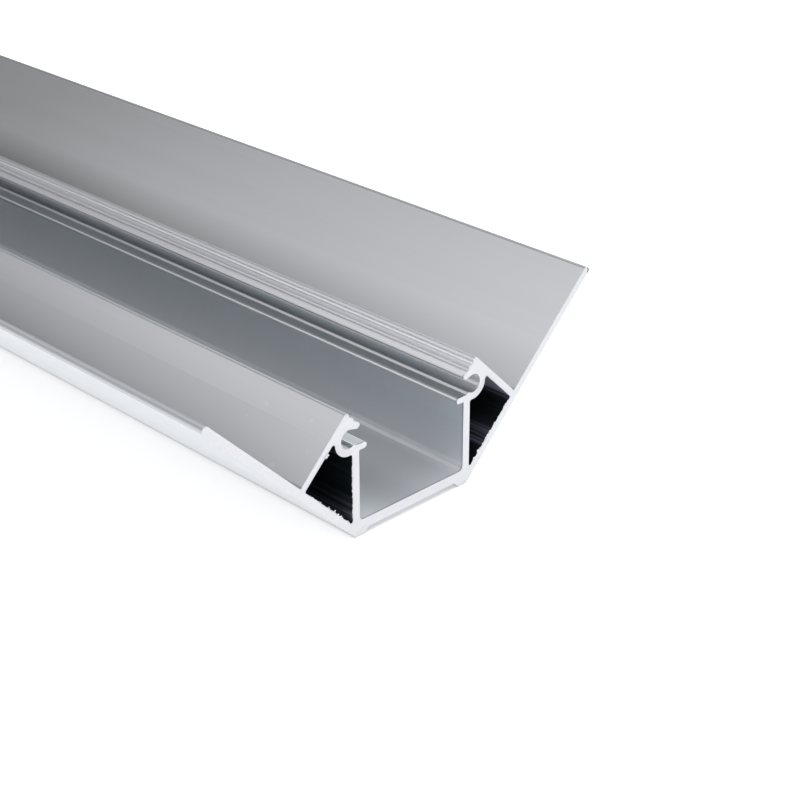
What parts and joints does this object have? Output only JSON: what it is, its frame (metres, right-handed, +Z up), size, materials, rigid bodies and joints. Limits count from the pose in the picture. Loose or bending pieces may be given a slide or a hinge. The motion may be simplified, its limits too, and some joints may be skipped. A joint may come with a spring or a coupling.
{
  "type": "corner LED strip profile",
  "caption": "Aluminium extrusion for an LED strip in an inside corner: a U-shaped channel with splayed wings, braced by struts, and a screw port along the top of each channel wall.",
  "frame": {"origin": "middle of the length, on the plane the feet stand on, in the section's plane of symmetry", "axes": "+X across the section, +Y along the length away from the pictured end, +Z up out of the channel's mouth"},
  "size_m": [0.0568, 1, 0.0205],
  "materials": {
    "aluminium": "satin clear anodised, with bright saw-cut ends"
  },
  "bodies": {
    "root": {"profile": "aluminium"}
  },
  "joints": []
}
